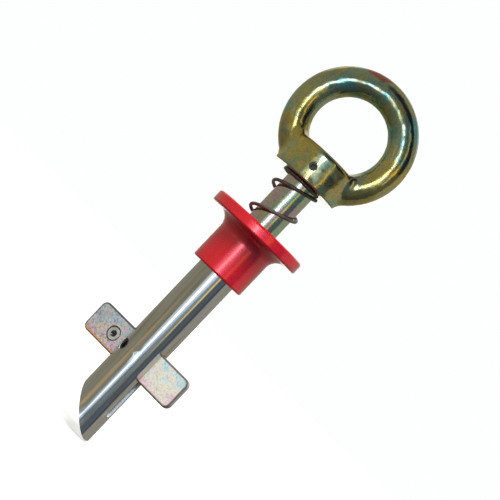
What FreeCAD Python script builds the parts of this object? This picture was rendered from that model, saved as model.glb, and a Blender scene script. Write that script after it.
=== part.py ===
import FreeCAD, Part
import math
import os

# Reusable toggle-bar roof anchor: a lifting eye on a spring-loaded plunger that
# swings a bar out through the slots of a drop-in sleeve. Dimensions in mm.
# Z = 0 is the bearing face of the collar and +Z runs up the sleeve to the eye.

# Eye nut, M16 pattern
EYE_OUTER_D = 63.0
EYE_INNER_D = 35.0
EYE_CENTRE_Z = 85.5
HUB_D = 35.0
HUB_BOTTOM_Z = 56.6
HUB_TOP_Z = 72.4
HUB_BORE_D = 16.0
HUB_EDGE_R = 2.4
HUB_LOWER_EDGE_R = 0.8
EYE_BLEND_R = 6.5

# Set screw that locks the eye nut to the rod, M4
EYE_SCREW_D = 4.0
EYE_SCREW_Z = 63.6
EYE_SCREW_AF = 2.0
EYE_SCREW_RECESS = 0.9

# Collar
FLANGE_D = 49.6
FLANGE_TOP_Z = 29.2
FLANGE_UNDER_Z = 23.5
FLANGE_EDGE_R = 1.2
COLLAR_D = 28.0
COLLAR_NECK_R = 6.0
COLLAR_FOOT_R = 1.0
COLLAR_STEP_Z = 22.0
BORE_MOUTH = 0.6
GUIDE_BORE_D = 16.1
SPRING_SEAT_D = 23.0
SPRING_SEAT_Z = 26.0

# Grub screw that keeps the collar on the sleeve tube, M5
GRUB_D = 5.0
GRUB_Z = 9.0
GRUB_AF = 2.5
GRUB_OUTER_R = 13.2
GRUB_DIMPLE = 0.4

# Sleeve tube
TUBE_D = 19.7
TUBE_BORE_D = 16.5
TUBE_SPIGOT_D = 18.8
TUBE_TIP_D = 19.5
TUBE_SEAT_LENGTH = 35.0
TUBE_TIP_Z = -93.2
TUBE_HEEL_Z = -72.1
SLOT_WIDTH = 3.4
SLOT_UP = 31.3
SLOT_DOWN = 28.6
SLOT_END_CLEARANCE = 0.45

# Toggle bar, seen along its pivot: +X is the longer way the bevel points
TOGGLE_YAW = -22.0
PIVOT_Z = -50.35
BAR_RIGHT = 28.8
BAR_LEFT = 31.4
BAR_HEIGHT = 16.2
BAR_THICKNESS = 3.0
BAR_CORNER_R = 3.0
BAR_EDGE_R = 0.8
CAM_INNER_R = 4.9
CAM_OUTER_R = 7.3
CAM_WIDTH = 3.5
CAM_ANGLE = 45.0

# Screw in the longer wing of the bar, M6
WING_SCREW_X = -16.6
WING_SCREW_DROP = 0.5
WING_SCREW_D = 6.0
WING_SCREW_AF = 3.0
WING_SCREW_LENGTH = 2.5
WING_SCREW_CHAMFER = 0.65

# Pins
PIVOT_PIN_D = 4.0
PIN_CLEARANCE = 0.05
DRIVE_PIN_D = 2.5
DRIVE_PIN_LENGTH = 9.6
DRIVE_PIN_X = 5.0
DRIVE_PIN_Z = 5.0

# Plunger rod
STROKE = 10.0
ROD_D = 16.0
ROD_TOP_Z = 70.6
ROD_THREAD_D = 15.9
ROD_END_CHAMFER = 1.2
FORK_SLOT = 3.4
FORK_TOP = 43.0
FORK_BOTTOM = -6.0

# Guide screw: its dog runs in a groove of the rod, M6 head end recessed in the tube
GUIDE_ANGLE = -126.0
GUIDE_D = 6.0
GUIDE_OUTER_R = 9.1
GUIDE_AF = 3.0
GUIDE_DOG_D = 4.0
GUIDE_DOG_INNER_R = 6.9
GUIDE_GROOVE_R = 6.8

# Return spring, right hand, closed ends
WIRE_D = 1.6
SPRING_MEAN_D = 20.0
SPRING_START = -330.0
SPRING_LEAN = 0.55
SPRING_LEAN_RISE = 6.0
SPRING_STEPS = (
    (30.0, 1.75),
    (180.0, 6.3),
    (360.0, 14.5),
    (540.0, 21.2),
    (720.0, 27.8),
)
SPRING_TOP_COIL = 860.0
SPRING_END = 1062.0

Z_AXIS = FreeCAD.Vector(0, 0, 1)
ORIGIN = FreeCAD.Vector(0, 0, 0)


def vec(x, y, z):
    return FreeCAD.Vector(x, y, z)


def save(shape, node):
    shape.exportStep("parts/%s.step" % node)


def cylinder(diameter, low, high):
    return Part.makeCylinder(diameter / 2, high - low, vec(0, 0, low), Z_AXIS)


def bar_along(direction, diameter, near, far, height):
    """Round bar on a horizontal line through the axis, from radius near to radius far."""
    base = direction * near + vec(0, 0, height)
    return Part.makeCylinder(diameter / 2, far - near, base, direction)


def heading(angle):
    """Horizontal unit vector at an angle from +X."""
    turn = math.radians(angle)
    return vec(math.cos(turn), math.sin(turn), 0)


def hexagon(across_flats, depth, base, direction):
    """Six-sided prism with one corner up, from base along direction."""
    reach = across_flats / math.sqrt(3)
    side = direction.cross(Z_AXIS)
    if side.Length < 0.5:
        side = vec(1, 0, 0)
    side.normalize()
    other = direction.cross(side)
    corners = []
    for step in range(7):
        turn = math.radians(60 * step)
        corners.append(base + other * (reach * math.cos(turn)) + side * (reach * math.sin(turn)))
    return Part.Face(Part.makePolygon(corners)).extrude(direction * depth)


def arc(centre_x, centre_z, radius, start, end):
    """Arc in the XZ plane between two angles."""
    points = []
    for angle in (start, (start + end) / 2, end):
        turn = math.radians(angle)
        points.append(vec(centre_x + radius * math.cos(turn), 0, centre_z + radius * math.sin(turn)))
    return Part.Arc(*points).toShape()


def line(x0, z0, x1, z1):
    return Part.makeLine(vec(x0, 0, z0), vec(x1, 0, z1))


def revolve(edges):
    face = Part.Face(Part.Wire(edges))
    return face.revolve(ORIGIN, Z_AXIS, 360)


def cone(d_low, d_high, low, high):
    return Part.makeCone(d_low / 2, d_high / 2, high - low, vec(0, 0, low), Z_AXIS)


def round_slot(width, low, high, start_x, end_x):
    """Vertical round-ended slot cutter running along X."""
    radius = width / 2
    cutter = Part.makeBox(end_x - start_x, width, high - low - width, vec(start_x, -radius, low + radius))
    for end in (low + radius, high - radius):
        cutter = cutter.fuse(Part.makeCylinder(radius, end_x - start_x, vec(start_x, 0, end), vec(1, 0, 0)))
    return cutter.removeSplitter()


def from_toggle(shape):
    """Turn a shape from the toggle's own frame into the part's frame."""
    turned = shape.copy()
    turned.rotate(ORIGIN, Z_AXIS, TOGGLE_YAW)
    return turned


def eye_nut():
    mean_r = (EYE_OUTER_D + EYE_INNER_D) / 4
    section_r = (EYE_OUTER_D - EYE_INNER_D) / 4
    ring = Part.makeTorus(mean_r, section_r, vec(0, 0, EYE_CENTRE_Z), vec(0, 1, 0))
    radius = HUB_D / 2
    top = HUB_EDGE_R
    low = HUB_LOWER_EDGE_R
    hub = revolve([
        line(0, HUB_BOTTOM_Z, radius - low, HUB_BOTTOM_Z),
        arc(radius - low, HUB_BOTTOM_Z + low, low, -90, 0),
        line(radius, HUB_BOTTOM_Z + low, radius, HUB_TOP_Z - top),
        arc(radius - top, HUB_TOP_Z - top, top, 0, 90),
        line(radius - top, HUB_TOP_Z, 0, HUB_TOP_Z),
        line(0, HUB_TOP_Z, 0, HUB_BOTTOM_Z),
    ])
    size = EYE_OUTER_D
    under = Part.makeBox(2 * size, 2 * size, size, vec(-size, -size, HUB_BOTTOM_Z - size))
    nut = ring.cut(under).fuse(hub).removeSplitter()
    seams = [e for e in nut.Edges if e.Curve.TypeId == "Part::GeomBSplineCurve"]
    nut = nut.makeFillet(EYE_BLEND_R, seams)
    nut = nut.cut(cylinder(HUB_BORE_D, HUB_BOTTOM_Z - 1, HUB_TOP_Z + 1))
    mouth = HUB_BORE_D + 2 * ROD_END_CHAMFER
    nut = nut.cut(cone(mouth, HUB_BORE_D, HUB_BOTTOM_Z, HUB_BOTTOM_Z + ROD_END_CHAMFER))
    nut = nut.cut(cone(HUB_BORE_D, mouth, HUB_TOP_Z - ROD_END_CHAMFER, HUB_TOP_Z))
    return nut.cut(bar_along(heading(-90), EYE_SCREW_D, HUB_BORE_D / 2 - 1, radius + 1, EYE_SCREW_Z))


def socket_screw(direction, diameter, near, far, height, across_flats, depth):
    """Headless screw lying on a horizontal line, hex socket in its outer end."""
    screw = bar_along(direction, diameter - 0.04, near, far, height)
    base = direction * (far - depth) + vec(0, 0, height)
    return screw.cut(hexagon(across_flats, depth + 1, base, direction))


def eye_set_screw():
    outer = HUB_D / 2 - EYE_SCREW_RECESS
    inner = ROD_D / 2 + 0.02
    return socket_screw(heading(-90), EYE_SCREW_D, inner, outer, EYE_SCREW_Z, EYE_SCREW_AF, 2.5)


def collar():
    body_r = COLLAR_D / 2
    rim_r = FLANGE_D / 2
    edge = FLANGE_EDGE_R
    seat_r = SPRING_SEAT_D / 2
    foot = COLLAR_FOOT_R
    bore_r = TUBE_SPIGOT_D / 2 + 0.02
    mouth_r = TUBE_SPIGOT_D / 2 + BORE_MOUTH
    guide_r = GUIDE_BORE_D / 2
    neck = COLLAR_NECK_R
    shape = revolve([
        line(mouth_r, 0, body_r - foot, 0),
        arc(body_r - foot, foot, foot, -90, 0),
        line(body_r, foot, body_r, FLANGE_UNDER_Z - neck),
        arc(body_r + neck, FLANGE_UNDER_Z - neck, neck, 180, 90),
        line(body_r + neck, FLANGE_UNDER_Z, rim_r - edge, FLANGE_UNDER_Z),
        arc(rim_r - edge, FLANGE_UNDER_Z + edge, edge, -90, 0),
        line(rim_r, FLANGE_UNDER_Z + edge, rim_r, FLANGE_TOP_Z - edge),
        arc(rim_r - edge, FLANGE_TOP_Z - edge, edge, 0, 90),
        line(rim_r - edge, FLANGE_TOP_Z, seat_r + 0.4, FLANGE_TOP_Z),
        line(seat_r + 0.4, FLANGE_TOP_Z, seat_r, FLANGE_TOP_Z - 0.4),
        line(seat_r, FLANGE_TOP_Z - 0.4, seat_r, SPRING_SEAT_Z),
        line(seat_r, SPRING_SEAT_Z, guide_r, SPRING_SEAT_Z),
        line(guide_r, SPRING_SEAT_Z, guide_r, COLLAR_STEP_Z),
        line(guide_r, COLLAR_STEP_Z, bore_r, COLLAR_STEP_Z),
        line(bore_r, COLLAR_STEP_Z, bore_r, BORE_MOUTH),
        line(bore_r, BORE_MOUTH, mouth_r, 0),
    ])
    return shape.cut(bar_along(heading(90), GRUB_D, TUBE_SPIGOT_D / 2 - 1, body_r + 1, GRUB_Z))


def collar_grub_screw():
    inner = TUBE_SPIGOT_D / 2 - GRUB_DIMPLE + 0.02
    return socket_screw(heading(90), GRUB_D, inner, GRUB_OUTER_R, GRUB_Z, GRUB_AF, 2.0)


def outer_tube():
    spigot = cylinder(TUBE_SPIGOT_D, 0, COLLAR_STEP_Z)
    seat = cylinder(TUBE_D, -TUBE_SEAT_LENGTH, 0)
    lead = cone(TUBE_TIP_D, TUBE_D, TUBE_TIP_Z, -TUBE_SEAT_LENGTH)
    tube = spigot.fuse(seat).fuse(lead)
    tube = tube.cut(cylinder(TUBE_BORE_D, TUBE_TIP_Z - 1, COLLAR_STEP_Z + 1))

    # angled lower end, long side under the shorter wing
    reach = TUBE_TIP_D / 2
    rise = (TUBE_HEEL_Z - TUBE_TIP_Z) / TUBE_TIP_D
    wide = 20.0
    side = Part.makePolygon([
        vec(reach + wide, -wide, TUBE_TIP_Z - rise * wide),
        vec(-reach - wide, -wide, TUBE_HEEL_Z + rise * wide),
        vec(-reach - wide, -wide, TUBE_TIP_Z - rise * wide),
        vec(reach + wide, -wide, TUBE_TIP_Z - rise * wide),
    ])
    tube = tube.cut(Part.Face(side).extrude(vec(0, 2 * wide, 0)))

    # a slot each side: the shorter wing swings down, the longer wing swings up
    half = BAR_HEIGHT / 2 + SLOT_END_CLEARANCE
    tube = tube.cut(round_slot(SLOT_WIDTH, PIVOT_Z - SLOT_DOWN, PIVOT_Z + half, 2, TUBE_D))
    tube = tube.cut(round_slot(SLOT_WIDTH, PIVOT_Z - half, PIVOT_Z + SLOT_UP, -TUBE_D, -2))

    pin_hole = PIVOT_PIN_D + 0.02
    tube = tube.cut(Part.makeCylinder(pin_hole / 2, 2 * TUBE_D, vec(0, -TUBE_D, PIVOT_Z), vec(0, 1, 0)))
    tube = tube.cut(bar_along(heading(GUIDE_ANGLE), GUIDE_D, TUBE_BORE_D / 2 - 1, TUBE_D, PIVOT_Z))
    tube = from_toggle(tube)
    dimple_r = TUBE_SPIGOT_D / 2 - GRUB_DIMPLE
    return tube.cut(bar_along(heading(90), GRUB_D, dimple_r, TUBE_D, GRUB_Z))


def pivot_pin():
    """Cross pin with its ends ground flush with the tube."""
    pin = Part.makeCylinder(PIVOT_PIN_D / 2, 2 * TUBE_D, vec(0, -TUBE_D, PIVOT_Z), vec(0, 1, 0))
    return from_toggle(pin.common(cone(TUBE_TIP_D, TUBE_D, TUBE_TIP_Z, -TUBE_SEAT_LENGTH)))


def guide_screw():
    direction = heading(GUIDE_ANGLE)
    inner = TUBE_BORE_D / 2 + 0.1
    screw = socket_screw(direction, GUIDE_D, inner, GUIDE_OUTER_R, PIVOT_Z, GUIDE_AF, 0.7)
    dog = bar_along(direction, GUIDE_DOG_D, GUIDE_DOG_INNER_R, inner + 0.1, PIVOT_Z)
    return from_toggle(screw.fuse(dog).removeSplitter())


def plunger_rod():
    shank = cylinder(ROD_D, PIVOT_Z + FORK_BOTTOM, HUB_BOTTOM_Z - 0.05)
    thread = cylinder(ROD_THREAD_D, HUB_BOTTOM_Z - 0.05, ROD_TOP_Z - ROD_END_CHAMFER)
    crown = cone(ROD_THREAD_D, ROD_THREAD_D - 2 * ROD_END_CHAMFER, ROD_TOP_Z - ROD_END_CHAMFER, ROD_TOP_Z)
    rod = shank.fuse(thread).fuse(crown).removeSplitter()

    # fork for the toggle bar
    gap = Part.makeBox(
        2 * ROD_D, FORK_SLOT, FORK_TOP - FORK_BOTTOM + 1,
        vec(-ROD_D, -FORK_SLOT / 2, PIVOT_Z + FORK_BOTTOM - 1),
    )
    rod = rod.cut(gap)

    # both prongs clear the pivot pin over the whole stroke
    radius = PIVOT_PIN_D / 2 + PIN_CLEARANCE
    for height in (0, STROKE + 0.2):
        centre = vec(0, -ROD_D, PIVOT_Z + height)
        rod = rod.cut(Part.makeCylinder(radius, 2 * ROD_D, centre, vec(0, 1, 0)))
    rod = rod.cut(Part.makeBox(2 * radius, 2 * ROD_D, STROKE + 0.2, vec(-radius, -ROD_D, PIVOT_Z)))

    hole = Part.makeCylinder(
        DRIVE_PIN_D / 2 + 0.01, 2 * ROD_D,
        vec(DRIVE_PIN_X, -ROD_D, PIVOT_Z + DRIVE_PIN_Z), vec(0, 1, 0),
    )
    rod = rod.cut(hole)

    # groove for the dog of the guide screw
    groove = round_slot(
        GUIDE_DOG_D + 2 * PIN_CLEARANCE,
        PIVOT_Z - GUIDE_DOG_D / 2 - 0.2,
        PIVOT_Z + STROKE + GUIDE_DOG_D / 2 + 0.2,
        GUIDE_GROOVE_R, ROD_D,
    )
    groove.rotate(ORIGIN, Z_AXIS, GUIDE_ANGLE)
    return from_toggle(rod.cut(groove))


def drive_pin():
    start = vec(DRIVE_PIN_X, -DRIVE_PIN_LENGTH / 2, PIVOT_Z + DRIVE_PIN_Z)
    return from_toggle(Part.makeCylinder(DRIVE_PIN_D / 2, DRIVE_PIN_LENGTH, start, vec(0, 1, 0)))


def toggle_bar():
    half = BAR_THICKNESS / 2
    length = BAR_LEFT + BAR_RIGHT
    bar = Part.makeBox(length, BAR_THICKNESS, BAR_HEIGHT, vec(-BAR_LEFT, -half, PIVOT_Z - BAR_HEIGHT / 2))
    corners = [e for e in bar.Edges if abs(e.Vertexes[0].Y - e.Vertexes[1].Y) > half]
    bar = bar.makeFillet(BAR_CORNER_R, corners)
    rim = []
    for edge in bar.Edges:
        box = edge.BoundBox
        if box.YLength < 0.01:
            rim.append(edge)
    bar = bar.makeFillet(BAR_EDGE_R, rim)

    along = vec(0, 1, 0)
    bar = bar.cut(Part.makeCylinder(PIVOT_PIN_D / 2 + PIN_CLEARANCE, 20, vec(0, -10, PIVOT_Z), along))

    # slanted cam slot for the drive pin
    track = CAM_OUTER_R - CAM_INNER_R
    cam = Part.makeBox(track, 20, CAM_WIDTH, vec(CAM_INNER_R, -10, -CAM_WIDTH / 2))
    for radius in (CAM_INNER_R, CAM_OUTER_R):
        cam = cam.fuse(Part.makeCylinder(CAM_WIDTH / 2, 20, vec(radius, -10, 0), along))
    cam.rotate(ORIGIN, along, -CAM_ANGLE)
    cam.translate(vec(0, 0, PIVOT_Z))
    bar = bar.cut(cam)

    # threaded hole in the longer wing, countersunk both sides
    radius = WING_SCREW_D / 2
    cut = WING_SCREW_CHAMFER
    bar = bar.cut(Part.makeCylinder(radius, 20, vec(WING_SCREW_X, -10, PIVOT_Z - WING_SCREW_DROP), along))
    for side in (-1, 1):
        mouth = vec(WING_SCREW_X, side * half, PIVOT_Z - WING_SCREW_DROP)
        bar = bar.cut(Part.makeCone(radius + cut, radius, cut, mouth, along * -side))
    return from_toggle(bar)


def toggle_screw():
    half = WING_SCREW_LENGTH / 2
    front = vec(0, -1, 0)
    centre = vec(WING_SCREW_X, half, PIVOT_Z - WING_SCREW_DROP)
    screw = Part.makeCylinder(WING_SCREW_D / 2 - 0.02, WING_SCREW_LENGTH, centre, front)
    base = vec(WING_SCREW_X, 1.6 - half, PIVOT_Z - WING_SCREW_DROP)
    return from_toggle(screw.cut(hexagon(WING_SCREW_AF, 5, base, front)))


def return_spring():
    base_z = SPRING_SEAT_Z + WIRE_D / 2 + 0.02
    top_z = HUB_BOTTOM_Z - WIRE_D / 2 - 0.02
    stations = [(SPRING_START, 0.0)]
    stations += list(SPRING_STEPS)
    stations.append((SPRING_TOP_COIL, top_z - base_z))
    stations.append((SPRING_END, top_z - base_z))

    # straight runs between stations, eased by averaging over a sixth of a turn
    def height(angle):
        for (a0, h0), (a1, h1) in zip(stations, stations[1:]):
            if angle <= a1:
                return h0 + (h1 - h0) * (angle - a0) / (a1 - a0)
        return stations[-1][1]

    def eased(angle):
        reach = min(40.0, angle - SPRING_START, SPRING_END - angle)
        samples = [height(angle + reach * k / 4) for k in range(-4, 5)]
        return sum(samples) / len(samples)

    radius = SPRING_MEAN_D / 2
    points = []
    count = int((SPRING_END - SPRING_START) / 15)
    for step in range(count + 1):
        angle = SPRING_START + (SPRING_END - SPRING_START) * step / count
        rise = eased(angle)
        lean = -SPRING_LEAN * min(1.0, rise / SPRING_LEAN_RISE)
        points.append(heading(angle) * radius + vec(lean, 0, base_z + rise))
    path = Part.BSplineCurve()
    path.interpolate(points)
    spine = Part.Wire([path.toShape()])
    tangent = path.tangent(path.FirstParameter)[0]
    section = Part.Wire([Part.makeCircle(WIRE_D / 2, points[0], tangent)])
    return spine.makePipeShell([section], True, True)


NODES = {
    "outer_tube": outer_tube,
    "collar": collar,
    "collar_grub_screw": collar_grub_screw,
    "pivot_pin": pivot_pin,
    "guide_screw": guide_screw,
    "eye_nut": eye_nut,
    "eye_set_screw": eye_set_screw,
    "plunger_rod": plunger_rod,
    "drive_pin": drive_pin,
    "toggle_bar": toggle_bar,
    "toggle_screw": toggle_screw,
    "return_spring": return_spring,
}

os.makedirs("parts", exist_ok=True)
for node, build in NODES.items():
    save(build(), node)
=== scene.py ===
"""Roof anchor: materials, return spring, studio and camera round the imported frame. Metres."""
import math

import bmesh
import bpy
from mathutils import Matrix, Vector


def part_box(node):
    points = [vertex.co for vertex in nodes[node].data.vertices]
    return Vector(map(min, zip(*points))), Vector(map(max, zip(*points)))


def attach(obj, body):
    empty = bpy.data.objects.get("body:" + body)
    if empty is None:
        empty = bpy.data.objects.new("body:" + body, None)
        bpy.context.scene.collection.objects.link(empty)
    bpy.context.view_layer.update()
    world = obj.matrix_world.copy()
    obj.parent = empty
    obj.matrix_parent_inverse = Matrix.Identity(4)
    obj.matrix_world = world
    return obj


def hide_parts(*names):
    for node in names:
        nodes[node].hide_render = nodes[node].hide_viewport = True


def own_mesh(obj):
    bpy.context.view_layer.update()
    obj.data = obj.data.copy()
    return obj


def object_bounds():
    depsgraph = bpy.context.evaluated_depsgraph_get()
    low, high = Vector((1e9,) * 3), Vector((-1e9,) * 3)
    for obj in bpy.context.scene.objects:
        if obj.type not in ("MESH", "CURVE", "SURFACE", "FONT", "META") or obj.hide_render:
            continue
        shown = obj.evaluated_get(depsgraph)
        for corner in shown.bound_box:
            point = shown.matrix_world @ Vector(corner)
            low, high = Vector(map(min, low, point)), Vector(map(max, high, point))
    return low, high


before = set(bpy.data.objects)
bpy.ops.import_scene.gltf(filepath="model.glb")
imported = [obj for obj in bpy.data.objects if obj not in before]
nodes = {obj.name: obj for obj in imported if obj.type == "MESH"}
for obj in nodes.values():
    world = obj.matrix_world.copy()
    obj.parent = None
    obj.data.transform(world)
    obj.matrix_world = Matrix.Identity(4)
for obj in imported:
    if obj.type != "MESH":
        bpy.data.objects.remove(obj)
cad_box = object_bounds()
MM = 0.001

# ------------------------------------------------------------------ dimensions
# toggle bar, in its own frame: x along it, z up, yawed about the sleeve's axis
BAR_YAW = math.radians(22)
BAR_LEFT = 31.4 * MM
BAR_RIGHT = 28.8 * MM
BAR_HEIGHT = 16.2 * MM
BAR_CORNER = 3.0 * MM
BAR_FACE = 1.5 * MM
SOCKET_R = 1.50 * MM
RECESS_R = 3.55 * MM

# the sleeve's metal is polished outside the outer radius and sawn inside the inner one
SKIN_OUTER_R = 9.74 * MM
SKIN_INNER_R = 9.60 * MM

# painted reflection: a red-brown patch on the ring's upper left, standing in for a red-brown reflection
RED_REFLECTION_X = -7.2 * MM
RED_REFLECTION_Y = -3.4 * MM
RED_REFLECTION_DROP = 2.1 * MM
RED_REFLECTION_TILT = math.radians(15)

# return spring: round wire, leaning a little, both ends closed; angles in degrees, rises in mm
WIRE_R = 0.80 * MM
COIL_R = 10.0 * MM
COIL_LEAN = 0.55 * MM
LEAN_RISE = 6.0 * MM
WIRE_GAP = 0.02 * MM
END_GAP = 0.01 * MM
ANGLE_STEP = 5.0
FIRST_ANGLE = -330.0
TOP_COIL_ANGLE = 860.0
LAST_ANGLE = 1062.0
RISES = ((30.0, 1.75), (180.0, 6.3), (360.0, 14.5), (540.0, 21.2), (720.0, 27.8))
SMOOTHING_ANGLE = 40.0
SECTION_SIDES = 16

# camera: level, rolled so that the upright object slants
VIEW_AZIMUTH = 6.5
VIEW_DISTANCE = 0.900
AIM_RIGHT = 0.0033
AIM_HEIGHT = 0.0183
PICTURE_ROLL = 43.6
LENS = 145.3
SENSOR = 36.0

# key light and floor
KEY_AZIMUTH = 5
KEY_ELEVATION = 48
KEY_DISTANCE = 0.9
KEY_SIZE = 0.5
KEY_POWER = 15.0
KEY_AIM = Vector((0, 0, 0.02))
FLOOR_GAP = 1.0 * MM
FLOOR_HALF = 4.0
PALE = (0.985, 1.0, 0.992, 1)


# ---------------------------------------------------------------- node helpers
NOISE_SPAN = (0.3, 0.7)


def new_material(name):
    mat = bpy.data.materials.new(name)
    mat.use_nodes = True
    tree = mat.node_tree
    tree.nodes.clear()
    out = tree.nodes.new("ShaderNodeOutputMaterial")
    bsdf = tree.nodes.new("ShaderNodeBsdfPrincipled")
    tree.links.new(bsdf.outputs["BSDF"], out.inputs["Surface"])
    return mat, tree, bsdf


def shader_of(mat):
    return next(n for n in mat.node_tree.nodes if n.bl_idname == "ShaderNodeBsdfPrincipled")


def add(tree, kind, **values):
    node = tree.nodes.new(kind)
    for key, value in values.items():
        setattr(node, key, value)
    return node


def link(tree, a, b):
    tree.links.new(a, b)


def opaque(colour):
    return tuple(colour) + (1.0,) if len(colour) == 3 else colour


def grey(value):
    return (value, value, value)


def coords(tree, scale=(1, 1, 1), rotation=(0, 0, 0), location=(0, 0, 0)):
    """Object coordinates, in metres before the mapping."""
    tex = add(tree, "ShaderNodeTexCoord")
    mapping = add(tree, "ShaderNodeMapping")
    mapping.inputs["Scale"].default_value = scale
    mapping.inputs["Rotation"].default_value = rotation
    mapping.inputs["Location"].default_value = location
    link(tree, tex.outputs["Object"], mapping.inputs["Vector"])
    return mapping.outputs["Vector"]


def noise(tree, vector, scale, detail, rough, distortion=0.0):
    node = add(tree, "ShaderNodeTexNoise")
    node.inputs["Scale"].default_value = scale
    node.inputs["Detail"].default_value = detail
    node.inputs["Roughness"].default_value = rough
    node.inputs["Distortion"].default_value = distortion
    link(tree, vector, node.inputs["Vector"])
    return node.outputs["Fac"]


def ramp(tree, fac, stops):
    """Colour that runs through stops of (position, colour)."""
    node = add(tree, "ShaderNodeValToRGB")
    elements = node.color_ramp.elements
    while len(elements) > 1:
        elements.remove(elements[-1])
    elements[0].position = stops[0][0]
    elements[0].color = opaque(stops[0][1])
    for position, colour in stops[1:]:
        elements.new(position).color = opaque(colour)
    link(tree, fac, node.inputs["Fac"])
    return node.outputs["Color"]


def remap(tree, value, source, target):
    """Value carried from the span source to the span target, and held at its ends."""
    node = add(tree, "ShaderNodeMapRange")
    node.inputs["From Min"].default_value = source[0]
    node.inputs["From Max"].default_value = source[1]
    node.inputs["To Min"].default_value = target[0]
    node.inputs["To Max"].default_value = target[1]
    link(tree, value, node.inputs["Value"])
    return node.outputs["Result"]


def mix(tree, fac, a, b, mode="MIX"):
    """Two colours blended; fac, a and b are each a constant or a socket."""
    node = add(tree, "ShaderNodeMix", data_type="RGBA", blend_type=mode)
    for socket, kind, value in (("Factor", "VALUE", fac), ("A", "RGBA", a), ("B", "RGBA", b)):
        target = next(s for s in node.inputs if s.name == socket and s.type == kind)
        if isinstance(value, (int, float)):
            target.default_value = value
        elif isinstance(value, tuple):
            target.default_value = opaque(value)
        else:
            link(tree, value, target)
    return next(s for s in node.outputs if s.type == "RGBA")


def math_node(tree, operation, *values):
    """Arithmetic on constants and sockets."""
    node = add(tree, "ShaderNodeMath", operation=operation)
    for socket, value in zip(node.inputs, values):
        if isinstance(value, (int, float)):
            socket.default_value = value
        else:
            link(tree, value, socket)
    return node.outputs[0]


def bump_layer(tree, height, strength, distance, under=None):
    """One layer of bump, on top of another if given."""
    node = add(tree, "ShaderNodeBump")
    node.inputs["Strength"].default_value = strength
    node.inputs["Distance"].default_value = distance
    link(tree, height, node.inputs["Height"])
    if under is not None:
        link(tree, under, node.inputs["Normal"])
    return node.outputs["Normal"]


def from_axis(tree, vector, centre, stretch):
    """How far a point is from centre, each direction weighed by stretch (0 leaves it out)."""
    off = add(tree, "ShaderNodeVectorMath", operation="SUBTRACT")
    link(tree, vector, off.inputs[0])
    off.inputs[1].default_value = centre
    weighed = add(tree, "ShaderNodeVectorMath", operation="MULTIPLY")
    link(tree, off.outputs["Vector"], weighed.inputs[0])
    weighed.inputs[1].default_value = stretch
    length = add(tree, "ShaderNodeVectorMath", operation="LENGTH")
    link(tree, weighed.outputs["Vector"], length.inputs[0])
    return length.outputs["Value"]


# ------------------------------------------------------------------- materials
def yellow_zinc(name, films, runs, film_size, run_size, rough_low, wave_size, wave_height, red_reflection_at=None):
    """Glossy chromated zinc: a film that drifts in colour, with run marks, over a wavy forging."""
    mat, tree, bsdf = new_material(name)
    bsdf.inputs["Metallic"].default_value = 1.0
    here = coords(tree)
    film = noise(tree, here, film_size, detail=3, rough=0.62, distortion=0.8)
    drip = coords(tree, scale=(1, 1, 0.6), location=(3, 1, 2))
    run = noise(tree, drip, run_size, detail=3, rough=0.6, distortion=0.8)
    toned = mix(tree, 0.9, ramp(tree, film, films), ramp(tree, run, runs), "SOFT_LIGHT")
    speck = noise(tree, here, 1300, detail=4, rough=0.75)
    fine = ramp(tree, speck, [
        (0.36, (0.50, 0.58, 0.60)), (0.50, grey(0.92)), (0.64, (1.0, 0.97, 0.88)),
    ])
    surface = mix(tree, 0.75, toned, fine, "MULTIPLY")
    # painted reflection: a red-brown patch on the ring, where a centre is given
    if red_reflection_at is not None:
        surface = painted_red_reflection(tree, here, film, surface, red_reflection_at)
    link(tree, surface, bsdf.inputs["Base Color"])
    worn = noise(tree, here, 260, detail=4, rough=0.6)
    link(tree, remap(tree, worn, NOISE_SPAN, (rough_low, rough_low + 0.12)), bsdf.inputs["Roughness"])
    wave = noise(tree, here, wave_size, detail=2, rough=0.5)
    soft = bump_layer(tree, wave, 1.0, wave_height)
    pitted = noise(tree, here, 1100, detail=4, rough=0.7)
    link(tree, bump_layer(tree, pitted, 0.5, 0.08 * MM, soft), bsdf.inputs["Normal"])
    return mat


def painted_red_reflection(tree, here, film, surface, centre):
    """Painted reflection: a red-brown patch with a ragged rim, a flat patch tilted with the ring."""
    tilted = add(tree, "ShaderNodeVectorRotate", rotation_type="Y_AXIS")
    link(tree, here, tilted.inputs["Vector"])
    tilted.inputs["Center"].default_value = centre
    tilted.inputs["Angle"].default_value = RED_REFLECTION_TILT
    away = from_axis(tree, tilted.outputs["Vector"], centre, (140, 140, 420))
    ragged = math_node(tree, "ADD", away, remap(tree, film, NOISE_SPAN, (-0.25, 0.25)))
    depth = remap(tree, ragged, (0.75, 1.05), (0.85, 0.0))
    return mix(tree, depth, surface, (0.62, 0.17, 0.16))


def polished_steel(name):
    """Bright drawn steel: fine lengthwise lines, faint brown tints and shallow dents."""
    mat, tree, bsdf = new_material(name)
    bsdf.inputs["Metallic"].default_value = 1.0
    tint = noise(tree, coords(tree, scale=(1, 1, 0.07)), 260, detail=3, rough=0.55, distortion=0.4)
    colour = ramp(tree, tint, [
        (0.28, (0.50, 0.45, 0.37)), (0.42, (0.63, 0.61, 0.56)), (0.56, (0.70, 0.70, 0.68)),
        (0.66, (0.62, 0.55, 0.45)), (0.76, (0.68, 0.67, 0.66)),
    ])
    brushed = noise(tree, coords(tree, scale=(1, 1, 0.015)), 1700, detail=4, rough=0.7)
    shade = ramp(tree, brushed, [(0.3, grey(0.84)), (0.7, grey(1.0))])
    link(tree, mix(tree, 1.0, colour, shade, "MULTIPLY"), bsdf.inputs["Base Color"])
    link(tree, remap(tree, brushed, NOISE_SPAN, (0.06, 0.15)), bsdf.inputs["Roughness"])
    lines = bump_layer(tree, brushed, 0.12, 0.04 * MM)
    dents = noise(tree, coords(tree, scale=(1, 1, 0.35)), 90, detail=2, rough=0.4)
    link(tree, bump_layer(tree, dents, 0.35, 0.10 * MM, lines), bsdf.inputs["Normal"])
    return mat


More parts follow.
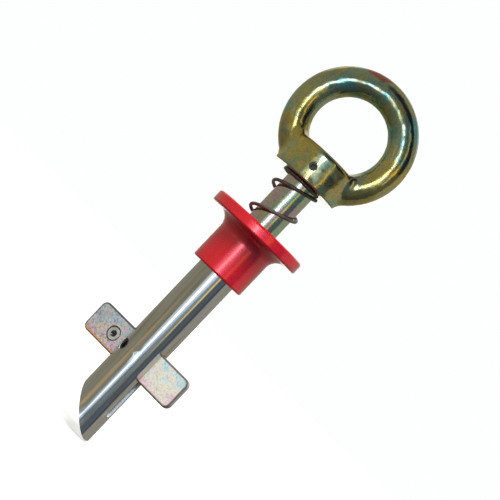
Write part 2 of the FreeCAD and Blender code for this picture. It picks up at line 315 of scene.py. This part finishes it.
def tube_steel(name):
    """Polished outside; the bore, the slot walls and the cut end are dull and pale."""
    mat = polished_steel(name)
    tree = mat.node_tree
    bsdf = shader_of(mat)
    radius = from_axis(tree, coords(tree), (0, 0, 0), (1, 1, 0))
    inside = remap(tree, radius, (SKIN_INNER_R, SKIN_OUTER_R), (1.0, 0.0))
    dull = noise(tree, coords(tree), 900, detail=3, rough=0.6)
    pale = ramp(tree, dull, [(0.3, (0.56, 0.64, 0.70)), (0.7, (0.78, 0.85, 0.90))])
    outer_colour = bsdf.inputs["Base Color"].links[0].from_socket
    link(tree, mix(tree, inside, outer_colour, pale), bsdf.inputs["Base Color"])
    link(tree, remap(tree, inside, (0.0, 1.0), (1.0, 0.25)), bsdf.inputs["Metallic"])
    outer_rough = bsdf.inputs["Roughness"].links[0].from_socket
    rougher = math_node(tree, "MULTIPLY", inside, 0.35)
    link(tree, math_node(tree, "ADD", outer_rough, rougher), bsdf.inputs["Roughness"])
    return mat


def red_anodised(name):
    """Turned aluminium under a satin red film."""
    mat, tree, bsdf = new_material(name)
    bsdf.inputs["Metallic"].default_value = 0.60
    here = coords(tree)
    tint = noise(tree, here, 140, detail=4, rough=0.6)
    colour = ramp(tree, tint, [(0.3, (0.86, 0.004, 0.022)), (0.7, (0.98, 0.008, 0.036))])
    link(tree, colour, bsdf.inputs["Base Color"])
    turned = noise(tree, coords(tree, scale=(0.2, 0.2, 1)), 1600, detail=2, rough=0.5)
    link(tree, remap(tree, turned, NOISE_SPAN, (0.24, 0.29)), bsdf.inputs["Roughness"])
    bsdf.inputs["Coat Weight"].default_value = 1.0
    bsdf.inputs["Coat Roughness"].default_value = 0.20
    bsdf.inputs["Coat IOR"].default_value = 1.7
    bsdf.inputs["Coat Tint"].default_value = (1.0, 0.95, 0.97, 1)
    grain = noise(tree, here, 2400, detail=2, rough=0.5)
    rings = bump_layer(tree, turned, 0.03, 0.02 * MM)
    link(tree, bump_layer(tree, grain, 0.05, 0.02 * MM, rings), bsdf.inputs["Normal"])
    return mat


def beyond_corners(tree, x, z, low_edge):
    """Distance past the square inside the bar's rounded corners: BAR_CORNER all round its outline."""
    squares = []
    for value, centre, half in (
        (x, (BAR_RIGHT - BAR_LEFT) / 2, (BAR_RIGHT + BAR_LEFT) / 2),
        (z, low_edge + BAR_HEIGHT / 2, BAR_HEIGHT / 2),
    ):
        off = math_node(tree, "ABSOLUTE", math_node(tree, "SUBTRACT", value, centre))
        past = math_node(tree, "MAXIMUM", math_node(tree, "SUBTRACT", off, half - BAR_CORNER), 0.0)
        squares.append(math_node(tree, "POWER", past, 2.0))
    return math_node(tree, "SQRT", math_node(tree, "ADD", *squares))


def sparkling_zinc(name, low_edge, screw):
    """Blue-passivated zinc: coloured crystals, greyer and pinker on the left wing, dark at the rim."""
    mat, tree, bsdf = new_material(name)
    bsdf.inputs["Metallic"].default_value = 0.40
    here = coords(tree)
    in_bar = coords(tree, rotation=(0, 0, BAR_YAW))
    split = add(tree, "ShaderNodeSeparateXYZ")
    link(tree, in_bar, split.inputs[0])
    x, y, z = split.outputs["X"], split.outputs["Y"], split.outputs["Z"]
    along = remap(tree, x, (-31 * MM, 29 * MM), (0.0, 1.0))

    # ground colour, clouds of tint that change with height, and crystals
    ground = ramp(tree, along, [
        (0.0, (0.62, 0.56, 0.60)), (0.38, (0.76, 0.69, 0.75)), (0.62, grey(1.0)), (1.0, grey(1.0)),
    ])
    clouds = noise(tree, here, 150, detail=3, rough=0.65, distortion=0.8)
    rise = remap(tree, z, (low_edge, low_edge + BAR_HEIGHT), (-0.10, 0.10))
    tint = ramp(tree, math_node(tree, "SUBTRACT", clouds, rise), [
        (0.34, (0.42, 0.84, 0.95)), (0.43, (0.80, 0.95, 0.98)), (0.50, (1.0, 0.97, 0.70)),
        (0.58, (1.0, 0.88, 0.86)), (0.68, (1.0, 0.62, 0.72)),
    ])
    toned = mix(tree, 0.60, ground, tint, "MULTIPLY")
    crystal = add(tree, "ShaderNodeTexVoronoi")
    crystal.inputs["Scale"].default_value = 1400
    link(tree, here, crystal.inputs["Vector"])
    colour = mix(tree, 0.70, toned, crystal.outputs["Color"], "SOFT_LIGHT")
    flecks = noise(tree, here, 900, detail=4, rough=0.75)
    pit = ramp(tree, flecks, [(0.36, grey(0.35)), (0.47, grey(0.90)), (0.64, grey(1.0))])
    pitting = remap(tree, along, (0.4, 0.6), (0.9, 0.5))
    colour = mix(tree, pitting, colour, pit, "MULTIPLY")

    # painted shade: the countersunk recess round the screw darkened
    from_screw = from_axis(tree, in_bar, screw, (1, 0, 1))
    painted_recess_shade = remap(tree, from_screw, (RECESS_R, RECESS_R + 0.25 * MM), (0.80, 0.0))
    colour = mix(tree, painted_recess_shade, colour, (0.14, 0.14, 0.13))

    # rim: dark, with a painted highlight along the left wing's lower edge, an orange line standing in for
    # the rounded edge's warm reflection
    low = remap(tree, z, (low_edge, low_edge + 2.4 * MM), (0.0, 1.0))
    rim_with_painted_glint = ramp(tree, low, [
        (0.0, (0.08, 0.06, 0.05)), (0.18, (0.10, 0.06, 0.05)), (0.24, (0.80, 0.24, 0.05)),
        (0.40, (0.95, 0.48, 0.10)), (0.60, (0.16, 0.12, 0.11)), (1.0, (0.09, 0.08, 0.09)),
    ])
    rim = mix(tree, remap(tree, along, (0.45, 0.60), (0.0, 0.75)), rim_with_painted_glint, (0.20, 0.15, 0.16))
    past = beyond_corners(tree, x, z, low_edge)
    border = remap(tree, past, (BAR_CORNER - 1.02 * MM, BAR_CORNER - 0.78 * MM), (0.0, 0.9))
    colour = mix(tree, border, colour, rim)
    # painted highlight: the band of the orange line along the left wing's lower edge
    low_band = remap(tree, z, (low_edge + 0.95 * MM, low_edge + 1.45 * MM), (1.0, 0.0))
    painted_glint_band = math_node(tree, "MULTIPLY", low_band, remap(tree, along, (0.40, 0.60), (0.85, 0.25)))
    colour = mix(tree, painted_glint_band, colour, rim)

    # the rounded edge takes the rim's colour, the cut sides are plain grey
    from_face = math_node(tree, "ABSOLUTE", y)
    cut_side = remap(tree, from_face, (BAR_FACE - 0.62 * MM, BAR_FACE - 0.40 * MM), (1.0, 0.0))
    edge_colour = mix(tree, cut_side, rim, (0.50, 0.47, 0.46))
    edge = remap(tree, from_face, (BAR_FACE - 0.14 * MM, BAR_FACE - 0.03 * MM), (1.0, 0.0))
    link(tree, mix(tree, edge, colour, edge_colour), bsdf.inputs["Base Color"])
    rough = remap(tree, crystal.outputs["Distance"], (0.0, 0.8), (0.26, 0.50))
    link(tree, rough, bsdf.inputs["Roughness"])
    link(tree, bump_layer(tree, flecks, 0.8, 0.20 * MM), bsdf.inputs["Normal"])
    return mat


def plain_steel(name, colour_a, colour_b, rough_span, metallic=1.0):
    """Mottled between two colours, for wire, pins and screws."""
    mat, tree, bsdf = new_material(name)
    bsdf.inputs["Metallic"].default_value = metallic
    tint = noise(tree, coords(tree), 500, detail=3, rough=0.6)
    link(tree, ramp(tree, tint, [(0.35, colour_a), (0.65, colour_b)]), bsdf.inputs["Base Color"])
    link(tree, remap(tree, tint, NOISE_SPAN, rough_span), bsdf.inputs["Roughness"])
    link(tree, bump_layer(tree, tint, 0.2, 0.06 * MM), bsdf.inputs["Normal"])
    return mat


def socketed(mat, centre):
    """Painted shade: darkens the wing screw's hex socket, which holds grease and shade."""
    tree = mat.node_tree
    bsdf = shader_of(mat)
    reach = from_axis(tree, coords(tree, rotation=(0, 0, BAR_YAW)), centre, (1, 0, 1))
    painted_socket_shade = remap(tree, reach, (SOCKET_R, SOCKET_R + 0.15 * MM), (1.0, 0.0))
    steel = bsdf.inputs["Base Color"].links[0].from_socket
    link(tree, mix(tree, painted_socket_shade, steel, (0.085, 0.07, 0.07)), bsdf.inputs["Base Color"])
    return mat


EYE_FILMS = [
    (0.25, (0.20, 0.38, 0.44)), (0.33, (0.28, 0.54, 0.56)), (0.41, (0.42, 0.54, 0.42)),
    (0.49, (0.52, 0.55, 0.36)), (0.56, (0.64, 0.56, 0.28)), (0.62, (0.46, 0.55, 0.38)),
    (0.69, (0.62, 0.47, 0.38)), (0.78, (0.34, 0.53, 0.50)),
]
EYE_RUNS = [
    (0.37, (0.22, 0.66, 0.86)), (0.44, (0.46, 0.57, 0.60)), (0.52, (0.56, 0.54, 0.44)),
    (0.58, (0.95, 0.66, 0.12)), (0.65, (0.76, 0.48, 0.34)), (0.72, (0.40, 0.60, 0.56)),
]
ROD_FILMS = [
    (0.28, (0.36, 0.66, 0.54)), (0.40, (0.54, 0.68, 0.48)), (0.50, (0.64, 0.66, 0.46)),
    (0.55, (0.72, 0.58, 0.56)), (0.63, (0.80, 0.52, 0.60)), (0.76, (0.54, 0.66, 0.74)),
]
ROD_RUNS = [
    (0.36, (0.36, 0.64, 0.58)), (0.46, (0.50, 0.56, 0.52)),
    (0.54, (0.56, 0.52, 0.52)), (0.62, (0.70, 0.44, 0.50)),
]


def middle(node):
    low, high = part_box(node)
    return (Vector(low) + Vector(high)) / 2


bar_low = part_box("toggle_bar")[0][2]
screw_in_bar = Matrix.Rotation(BAR_YAW, 3, "Z") @ middle("toggle_screw")
ring_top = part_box("eye_nut")[1][2]
# centre of the painted red-brown reflection on the ring
red_reflection_centre = (RED_REFLECTION_X, RED_REFLECTION_Y, ring_top - RED_REFLECTION_DROP)
black = plain_steel("black_screw", (0.05, 0.05, 0.055), (0.11, 0.11, 0.12), (0.30, 0.45))
plated = plain_steel("plated_screw", (0.52, 0.58, 0.58), (0.86, 0.90, 0.90), (0.18, 0.32), 0.70)

MATS = {
    "eye_nut": yellow_zinc(
        "eye_yellow_zinc", EYE_FILMS, EYE_RUNS, film_size=80, run_size=55, rough_low=0.085,
        wave_size=90, wave_height=0.8 * MM, red_reflection_at=red_reflection_centre,
    ),
    "plunger_rod": yellow_zinc(
        "rod_pale_zinc", ROD_FILMS, ROD_RUNS, film_size=130, run_size=220, rough_low=0.08,
        wave_size=140, wave_height=0.12 * MM,
    ),
    "outer_tube": tube_steel("tube_polished_steel"),
    "collar": red_anodised("collar_red_anodised"),
    "toggle_bar": sparkling_zinc("bar_sparkling_zinc", bar_low, screw_in_bar),
    "toggle_screw": socketed(plated, screw_in_bar),
    "eye_set_screw": black,
    "collar_grub_screw": black,
    "guide_screw": plain_steel(
        "guide_screw_black", (0.05, 0.045, 0.05), (0.10, 0.085, 0.09), (0.40, 0.55),
    ),
    "pivot_pin": polished_steel("pin_polished_steel"),
    "drive_pin": plain_steel("pin_steel", (0.40, 0.42, 0.41), (0.58, 0.59, 0.56), (0.20, 0.35)),
    "return_spring": plain_steel(
        "spring_wire", (0.13, 0.125, 0.115), (0.22, 0.21, 0.185), (0.30, 0.46), 0.75,
    ),
}

for name, node in nodes.items():
    if not node.material_slots:
        node.data.materials.append(MATS[name])
    for slot in node.material_slots:
        slot.material = MATS[name]


# ---------------------------------------------------------------- return spring
def coil_height(angle, stations):
    for (a0, h0), (a1, h1) in zip(stations, stations[1:]):
        if angle <= a1:
            return h0 + (h1 - h0) * (angle - a0) / (a1 - a0)
    return stations[-1][1]


def coil_path(seat, under_hub):
    """The wire's centre line, its rise averaged over a stretch of angle so that it has no kinks."""
    base = seat + WIRE_R + WIRE_GAP
    tall = under_hub - seat - 2 * WIRE_R - 2 * WIRE_GAP
    stations = [(FIRST_ANGLE, 0.0)] + [(a, h * MM) for a, h in RISES]
    stations += [(TOP_COIL_ANGLE, tall), (LAST_ANGLE, tall)]
    count = int((LAST_ANGLE - FIRST_ANGLE) / ANGLE_STEP)
    path = []
    for k in range(count + 1):
        angle = FIRST_ANGLE + (LAST_ANGLE - FIRST_ANGLE) * k / count
        reach = min(SMOOTHING_ANGLE, angle - FIRST_ANGLE, LAST_ANGLE - angle)
        near = [coil_height(angle + reach * j / 4, stations) for j in range(-4, 5)]
        rise = sum(near) / len(near)
        lean = -COIL_LEAN * min(1.0, rise / LEAN_RISE)
        x = COIL_R * math.cos(math.radians(angle)) + lean
        path.append(Vector((x, COIL_R * math.sin(math.radians(angle)), base + rise)))
    return path


def make_spring(seat, under_hub):
    """Round wire wound between the collar's seat and the eye nut, both ends closed and ground flat."""
    path = coil_path(seat, under_hub)
    mesh = bmesh.new()
    rings = []
    for k, point in enumerate(path):
        ahead = (path[min(k + 1, len(path) - 1)] - path[max(k - 1, 0)]).normalized()
        out = Vector((point.x, point.y, 0)).normalized()
        across = ahead.cross(out).normalized()
        out = across.cross(ahead)
        ring = []
        for j in range(SECTION_SIDES):
            spin = 2 * math.pi * j / SECTION_SIDES
            spot = point + out * (WIRE_R * math.cos(spin)) + across * (WIRE_R * math.sin(spin))
            spot.z = min(max(spot.z, seat + END_GAP), under_hub - END_GAP)
            ring.append(mesh.verts.new(spot))
        rings.append(ring)
    for a, b in zip(rings, rings[1:]):
        for j in range(SECTION_SIDES):
            n = (j + 1) % SECTION_SIDES
            face = mesh.faces.new((a[j], a[n], b[n], b[j]))
            face.smooth = True
    mesh.faces.new(rings[0][::-1])
    mesh.faces.new(rings[-1])
    bmesh.ops.recalc_face_normals(mesh, faces=mesh.faces)
    data = bpy.data.meshes.new("return_spring_coil")
    mesh.to_mesh(data)
    mesh.free()
    piece = bpy.data.objects.new("return_spring_coil", data)
    bpy.context.scene.collection.objects.link(piece)
    data.materials.append(MATS["return_spring"])
    return piece


seat_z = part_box("return_spring")[0][2]
hub_under_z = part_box("eye_nut")[0][2]
spring = make_spring(seat_z, hub_under_z)
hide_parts("return_spring")
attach(spring, "sleeve")
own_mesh(spring)


# ---------------------------------------------------------------------- camera
camera = bpy.data.cameras.new("camera")
camera.lens = LENS
camera.sensor_width = SENSOR
camera.clip_start = 0.01
camera.clip_end = 20.0
cam = bpy.data.objects.new("camera", camera)
bpy.context.scene.collection.objects.link(cam)
turn = math.radians(VIEW_AZIMUTH)
right = Vector((math.cos(turn), math.sin(turn), 0))
place = Vector((math.sin(turn), -math.cos(turn), 0)) * VIEW_DISTANCE
look = (right * AIM_RIGHT + Vector((0, 0, AIM_HEIGHT)) - place).normalized()
side = look.cross(Vector((0, 0, 1))).normalized()
up = side.cross(look)
roll = math.radians(PICTURE_ROLL)
cam_x = side * math.cos(roll) + up * math.sin(roll)
cam_y = up * math.cos(roll) - side * math.sin(roll)
cam.matrix_world = Matrix((
    (cam_x.x, cam_y.x, -look.x, place.x),
    (cam_x.y, cam_y.y, -look.y, place.y),
    (cam_x.z, cam_y.z, -look.z, place.z),
    (0, 0, 0, 1),
))
bpy.context.scene.camera = cam

# ----------------------------------------------------------------------- world
# white to the eye, a banded studio to the metal; azimuths run to the right from the camera's side
world = bpy.data.worlds.new("studio")
world.use_nodes = True
wt = world.node_tree
wt.nodes.clear()
world_out = add(wt, "ShaderNodeOutputWorld")
direction = add(wt, "ShaderNodeTexCoord")
from_camera = add(wt, "ShaderNodeVectorRotate", rotation_type="Z_AXIS")
from_camera.inputs["Angle"].default_value = -turn
link(wt, direction.outputs["Generated"], from_camera.inputs["Vector"])
sep = add(wt, "ShaderNodeSeparateXYZ")
link(wt, from_camera.outputs["Vector"], sep.inputs[0])
toward = math_node(wt, "MULTIPLY", sep.outputs["Y"], -1.0)
azimuth = math_node(wt, "ARCTAN2", sep.outputs["X"], toward)
azimuth_behind = math_node(wt, "ARCTAN2", sep.outputs["X"], sep.outputs["Y"])
elevation = math_node(wt, "ARCSINE", sep.outputs["Z"])
off_axis = math_node(wt, "ARCCOSINE", toward)
round_axis = math_node(wt, "ARCTAN2", sep.outputs["Z"], sep.outputs["X"])


def softbox(around, azimuth_deg, height_deg, half_width, half_height, stops, power=2.0):
    """Light seen by the metal, an ellipse at power 2; stops run from its middle to its rim."""
    terms = []
    for value, middle, half in ((around, azimuth_deg, half_width), (elevation, height_deg, half_height)):
        away = math_node(wt, "SUBTRACT", value, math.radians(middle))
        away = math_node(wt, "ABSOLUTE", math_node(wt, "DIVIDE", away, math.radians(half)))
        terms.append(math_node(wt, "POWER", away, power))
    return ramp(wt, math_node(wt, "ADD", *terms), stops)


def window(value, low_out, low_in, high_in, high_out):
    """1 between the inner limits, falling to 0 at the outer ones; limits in degrees."""
    low_out, low_in, high_in, high_out = (math.radians(v) for v in (low_out, low_in, high_in, high_out))
    rising = remap(wt, value, (low_out, low_in), (0.0, 1.0))
    falling = remap(wt, value, (high_in, high_out), (1.0, 0.0))
    return math_node(wt, "MULTIPLY", rising, falling)


ROOM = [
    (-180, (0.34, 0.33, 0.27)),
    (-75, (0.30, 0.29, 0.23)),
    (-32, (0.30, 0.29, 0.225)),
    (13, (0.13, 0.16, 0.19)),
    (27, (0.15, 0.19, 0.22)),
    (48, (0.10, 0.13, 0.16)),
    (56, (0.13, 0.16, 0.20)),
    (74, (0.07, 0.09, 0.12)),
    (79, (0.38, 0.37, 0.34)),
    (180, (0.34, 0.33, 0.27)),
]
TILT = [
    (0.0, grey(0.30)), (0.28, grey(0.66)), (0.44, grey(1.0)),
    (0.58, grey(1.0)), (0.75, grey(0.80)), (1.0, grey(0.90)),
]
share = remap(wt, azimuth, (-math.pi, math.pi), (0.0, 1.0))
bands = ramp(wt, share, [((degrees + 180.0) / 360.0, colour) for degrees, colour in ROOM])
tilt = ramp(wt, remap(wt, sep.outputs["Z"], (-1.0, 1.0), (0.0, 1.0)), TILT)
room = mix(wt, 1.0, bands, tilt, "MULTIPLY")

# dark panel that arches over from the right, seen in the ring's upper right
arch = math_node(wt, "MULTIPLY", window(off_axis, 46, 52, 76, 86), window(round_axis, 5, 14, 96, 112))
room = mix(wt, math_node(wt, "MULTIPLY", arch, 0.92), room, (0.01, 0.012, 0.03))

# the front softbox with its hot core, the small lights beside it, and two lights behind the object
gold_line = math_node(
    wt, "MULTIPLY", window(azimuth, 28, 30, 35.5, 37), window(elevation, -3.2, -1.4, 40, 50),
)
LIGHTS = [
    softbox(azimuth, -5, 1.5, 23, 10.5, [
        (0.0, (1.7, 1.78, 1.86)), (0.30, (1.28, 1.34, 1.38)), (0.46, (0.74, 0.90, 1.08)),
        (0.80, (0.42, 0.56, 0.76)), (0.97, (0.30, 0.38, 0.48)), (1.0, grey(0)),
    ], power=1.25),
    softbox(azimuth, -5, 4, 4.0, 8, [(0.0, grey(6.5)), (0.5, grey(4.5)), (1.0, grey(0))]),
    softbox(azimuth, 20, 1, 16, 9, [(0.0, (0.16, 0.20, 0.23)), (1.0, grey(0))]),
    softbox(azimuth, -49, -6, 13, 5.0, [
        (0.0, (0.30, 0.155, 0.03)), (0.45, (0.20, 0.10, 0.02)), (1.0, grey(0)),
    ]),
    mix(wt, gold_line, grey(0), (1.05, 0.70, 0.02)),
    softbox(azimuth, -7, -5, 4.5, 4.5, [
        (0.0, (0.75, 0.8, 0.9)), (0.6, (0.5, 0.55, 0.65)), (1.0, grey(0)),
    ]),
    softbox(azimuth_behind, 0, 4, 20, 14, [(0.0, grey(1.5)), (0.7, grey(1.05)), (1.0, grey(0))]),
    softbox(azimuth_behind, 0, 30, 60, 12, [(0.0, grey(0.5)), (0.7, grey(0.35)), (1.0, grey(0))]),
]
studio = room
for light in LIGHTS:
    studio = mix(wt, 1.0, studio, light, "ADD")

seen_by_metal = add(wt, "ShaderNodeBackground")
link(wt, studio, seen_by_metal.inputs["Color"])
seen_by_camera = add(wt, "ShaderNodeBackground")
seen_by_camera.inputs["Color"].default_value = PALE
for background in (seen_by_metal, seen_by_camera):
    background.inputs["Strength"].default_value = 1.0
ray = add(wt, "ShaderNodeLightPath")
pick = add(wt, "ShaderNodeMixShader")
link(wt, ray.outputs["Is Camera Ray"], pick.inputs[0])
link(wt, seen_by_metal.outputs[0], pick.inputs[1])
link(wt, seen_by_camera.outputs[0], pick.inputs[2])
link(wt, pick.outputs[0], world_out.inputs["Surface"])
bpy.context.scene.world = world
bpy.context.scene.view_settings.view_transform = "Standard"
bpy.context.scene.view_settings.look = "None"

# ------------------------------------------------------------- key light, floor
key_light = bpy.data.lights.new("key", "AREA")
key_light.shape = "RECTANGLE"
key_light.size = KEY_SIZE
key_light.size_y = KEY_SIZE
key_light.energy = KEY_POWER
key = bpy.data.objects.new("key", key_light)
bpy.context.scene.collection.objects.link(key)
key_turn = math.radians(KEY_AZIMUTH)
key_rise = math.radians(KEY_ELEVATION)
back = Vector((
    math.sin(key_turn) * math.cos(key_rise), -math.cos(key_turn) * math.cos(key_rise), math.sin(key_rise),
))
key.location = KEY_AIM + back * KEY_DISTANCE
key.rotation_mode = "QUATERNION"
key.rotation_quaternion = (-back).to_track_quat("-Z", "Y")
key.visible_glossy = False

# pale floor just under the tip of the sleeve, with a painted glow that grows brighter away from the foot;
# the metal doesn't mirror it
floor_z = cad_box[0][2] - FLOOR_GAP
corners = [(x * FLOOR_HALF, y * FLOOR_HALF, floor_z) for x, y in ((-1, -1), (1, -1), (1, 1), (-1, 1))]
floor_mesh = bpy.data.meshes.new("floor")
floor_mesh.from_pydata(corners, [], [(0, 1, 2, 3)])
floor = bpy.data.objects.new("floor", floor_mesh)
bpy.context.scene.collection.objects.link(floor)
floor_mat, ft, floor_bsdf = new_material("floor_pale")
speckle = noise(ft, coords(ft), 3, detail=2, rough=0.5)
link(ft, ramp(ft, speckle, [(0.0, grey(0.78)), (1.0, grey(0.84))]), floor_bsdf.inputs["Base Color"])
floor_bsdf.inputs["Roughness"].default_value = 0.9
floor_bsdf.inputs["Specular IOR Level"].default_value = 0.0
floor_bsdf.inputs["Emission Color"].default_value = PALE
from_foot = from_axis(ft, coords(ft), (0, 0, 0), (1, 1, 0))
# painted glow: emission weaker near the foot, so the key's shadow shows, and full far off
link(ft, remap(ft, from_foot, (0.15, 1.0), (0.56, 1.0)), floor_bsdf.inputs["Emission Strength"])
floor_mesh.materials.append(floor_mat)
floor.visible_glossy = False
floor.visible_diffuse = False
